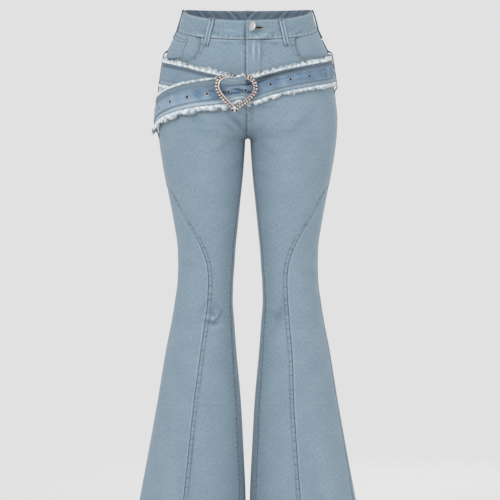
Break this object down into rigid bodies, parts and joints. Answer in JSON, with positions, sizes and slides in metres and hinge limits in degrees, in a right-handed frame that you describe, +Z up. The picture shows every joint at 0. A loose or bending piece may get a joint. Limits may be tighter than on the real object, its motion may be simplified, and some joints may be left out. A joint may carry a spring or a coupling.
{
  "type": "flared jeans",
  "caption": "Light blue flared jeans in worn shape, with curved front seams, a waistband, scoop pockets and a frayed hip belt with an open heart buckle.",
  "frame": {"origin": "middle of the waist, level with the front of the waistband's top edge", "axes": "+Z up along the legs to the waist, the front faces -Y, the wearer's left is +X"},
  "size_m": [0.4534, 0.259, 1.0501],
  "materials": {
    "denim": "washed stretch denim, twill",
    "belt_denim": "washed denim, twill",
    "strip_denim": "darker washed denim, twill",
    "frayed_cotton": "frayed white and pale blue cotton",
    "steel": "nickel plated, satin",
    "buckle_metal": "plated zinc set with clear stones"
  },
  "bodies": {
    "root": {"front_left": "denim", "front_right": "denim", "side_left": "denim", "side_right": "denim", "back_left": "denim", "back_right": "denim", "yoke_left": "denim", "yoke_right": "denim", "pocket_facing_left": "denim", "pocket_facing_right": "denim", "coin_pocket": "denim", "back_pocket_left": "denim", "back_pocket_right": "denim", "fly": "denim", "waistband_left": "denim", "waistband_right": "denim", "loop_front_left": "denim", "loop_front_right": "denim", "loop_side_left": "denim", "loop_side_right": "denim", "loop_back": "denim", "hip_loop_left": "belt_denim", "hip_loop_right": "belt_denim", "belt": "belt_denim", "belt_tail": "belt_denim", "belt_strip": "strip_denim", "tail_strip": "strip_denim", "fringe_belt_top": "frayed_cotton", "fringe_belt_bottom": "frayed_cotton", "fringe_tail_top": "frayed_cotton", "fringe_tail_bottom": "frayed_cotton", "eyelet_tail_1": "steel", "eyelet_tail_2": "steel", "eyelet_tail_3": "steel", "eyelet_tail_4": "steel", "eyelet_tail_5": "steel", "eyelet_tail_6": "steel", "eyelet_belt_1": "steel", "eyelet_belt_2": "steel", "eyelet_belt_3": "steel", "eyelet_belt_4": "steel", "eyelet_belt_5": "steel", "eyelet_belt_6": "steel", "eyelet_belt_7": "steel", "eyelet_belt_8": "steel", "eyelet_belt_9": "steel", "eyelet_belt_10": "steel", "eyelet_belt_11": "steel", "eyelet_belt_12": "steel", "eyelet_belt_13": "steel", "eyelet_belt_14": "steel", "eyelet_belt_15": "steel", "button": "steel", "buckle_bar": "steel", "buckle_heart": "buckle_metal"}
  },
  "joints": []
}
